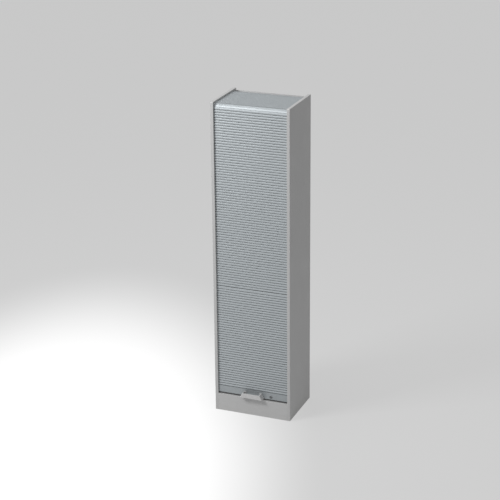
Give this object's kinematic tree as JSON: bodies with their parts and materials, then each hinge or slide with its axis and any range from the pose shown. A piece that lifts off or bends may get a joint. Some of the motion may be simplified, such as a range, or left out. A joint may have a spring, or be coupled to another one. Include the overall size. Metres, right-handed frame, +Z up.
{
  "type": "tambour door cabinet",
  "caption": "Tall narrow free-standing cabinet closed by a horizontal slat curtain that slides up the front and over the top, with plinth, bow handle and lock.",
  "frame": {"origin": "on the floor, under the middle of the whole cabinet with its handle", "axes": "+X to the right seen from the front, +Y to the back, +Z up; the curtain and handle face -Y"},
  "size_m": [0.5, 0.39, 2],
  "materials": {
    "board": "light grey melamine on chipboard, fine satin",
    "edge_band": "light grey edge band, satin",
    "plinth": "light grey melamine on chipboard, fine satin",
    "inside_board": "pale grey melamine on chipboard, satin",
    "curtain": "silver grey extruded slats, satin with a slight metallic sheen",
    "handle_plastic": "light grey moulded, satin",
    "track_plastic": "light grey extruded track, satin",
    "dark_plastic": "dark grey moulded, matt",
    "seal_rubber": "black lip seal, matt",
    "lock_metal": "dark nickel, brushed",
    "zinc_steel": "zinc plated",
    "cap_plastic": "pale grey moulded, matt"
  },
  "bodies": {
    "cabinet": {"left_side_panel": "board", "right_side_panel": "board", "left_edge_band": "edge_band", "right_edge_band": "edge_band", "top_board": "inside_board", "bottom_board": "inside_board", "plinth_front": "plinth", "plinth_rear": "board", "inner_back": "inside_board", "outer_back": "board", "left_guide_track": "track_plastic", "right_guide_track": "track_plastic", "lower_slats": "curtain", "joint_profile": "curtain", "upper_slats": "curtain", "front_bend_slats": "curtain", "top_slats": "curtain", "rear_slats": "curtain", "strike_plate": "zinc_steel", "shelf_1": "inside_board", "shelf_2": "inside_board", "shelf_3": "inside_board", "shelf_4": "inside_board", "shelf_pins": "zinc_steel", "cams": "zinc_steel", "cam_bolts": "zinc_steel", "foot_brackets": "dark_plastic", "foot_bracket_screws": "zinc_steel", "access_caps": "cap_plastic", "back_screws": "zinc_steel"},
    "shutter": {"end_slat": "curtain", "end_slat_gliders": "dark_plastic", "bottom_seal": "seal_rubber", "handle": "handle_plastic", "handle_screws": "zinc_steel", "lock_barrel": "lock_metal", "lock_nut": "zinc_steel", "lock_case": "dark_plastic", "lock_case_screws": "zinc_steel"},
    "lock_cylinder": {"lock_plug": "lock_metal", "lock_cam": "zinc_steel"},
    "lock_bolt_slide": {"lock_bolt": "zinc_steel"},
    "curtain_tail": {"tail_bar": "curtain"},
    "foot_fl": {"foot_front_left": "zinc_steel"},
    "foot_fr": {"foot_front_right": "zinc_steel"},
    "foot_rl": {"foot_rear_left": "zinc_steel"},
    "foot_rr": {"foot_rear_right": "zinc_steel"}
  },
  "joints": [
    {"name": "shutter_lift", "type": "slide", "parent": "cabinet", "child": "shutter", "axis": [0, 0, 1], "range_m": [0, 1.78], "deforming": ["lower_slats", "joint_profile", "upper_slats"]},
    {"name": "curtain_tail_drop", "type": "slide", "parent": "cabinet", "child": "curtain_tail", "axis": [0, 0, -1], "range_m": [0, 1.78]},
    {"name": "lock_turn", "type": "hinge", "parent": "shutter", "child": "lock_cylinder", "pos_m": [0.12, -0.154, 0.138], "axis": [0, 1, 0], "range_deg": [0, 90]},
    {"name": "lock_bolt_drop", "type": "slide", "parent": "shutter", "child": "lock_bolt_slide", "axis": [0, 0, -1], "range_m": [0, 0.01]},
    {"name": "foot_front_left_screw", "type": "slide", "parent": "cabinet", "child": "foot_fl", "axis": [0, 0, -1], "range_m": [0, 0.015]},
    {"name": "foot_front_right_screw", "type": "slide", "parent": "cabinet", "child": "foot_fr", "axis": [0, 0, -1], "range_m": [0, 0.015]},
    {"name": "foot_rear_left_screw", "type": "slide", "parent": "cabinet", "child": "foot_rl", "axis": [0, 0, -1], "range_m": [0, 0.015]},
    {"name": "foot_rear_right_screw", "type": "slide", "parent": "cabinet", "child": "foot_rr", "axis": [0, 0, -1], "range_m": [0, 0.015]}
  ],
  "couplings": [
    {"joint": "curtain_tail_drop", "follows": "shutter_lift", "ratio": 1},
    {"joint": "lock_bolt_drop", "follows": "lock_turn", "m_per_rad": 0.0063662}
  ]
}
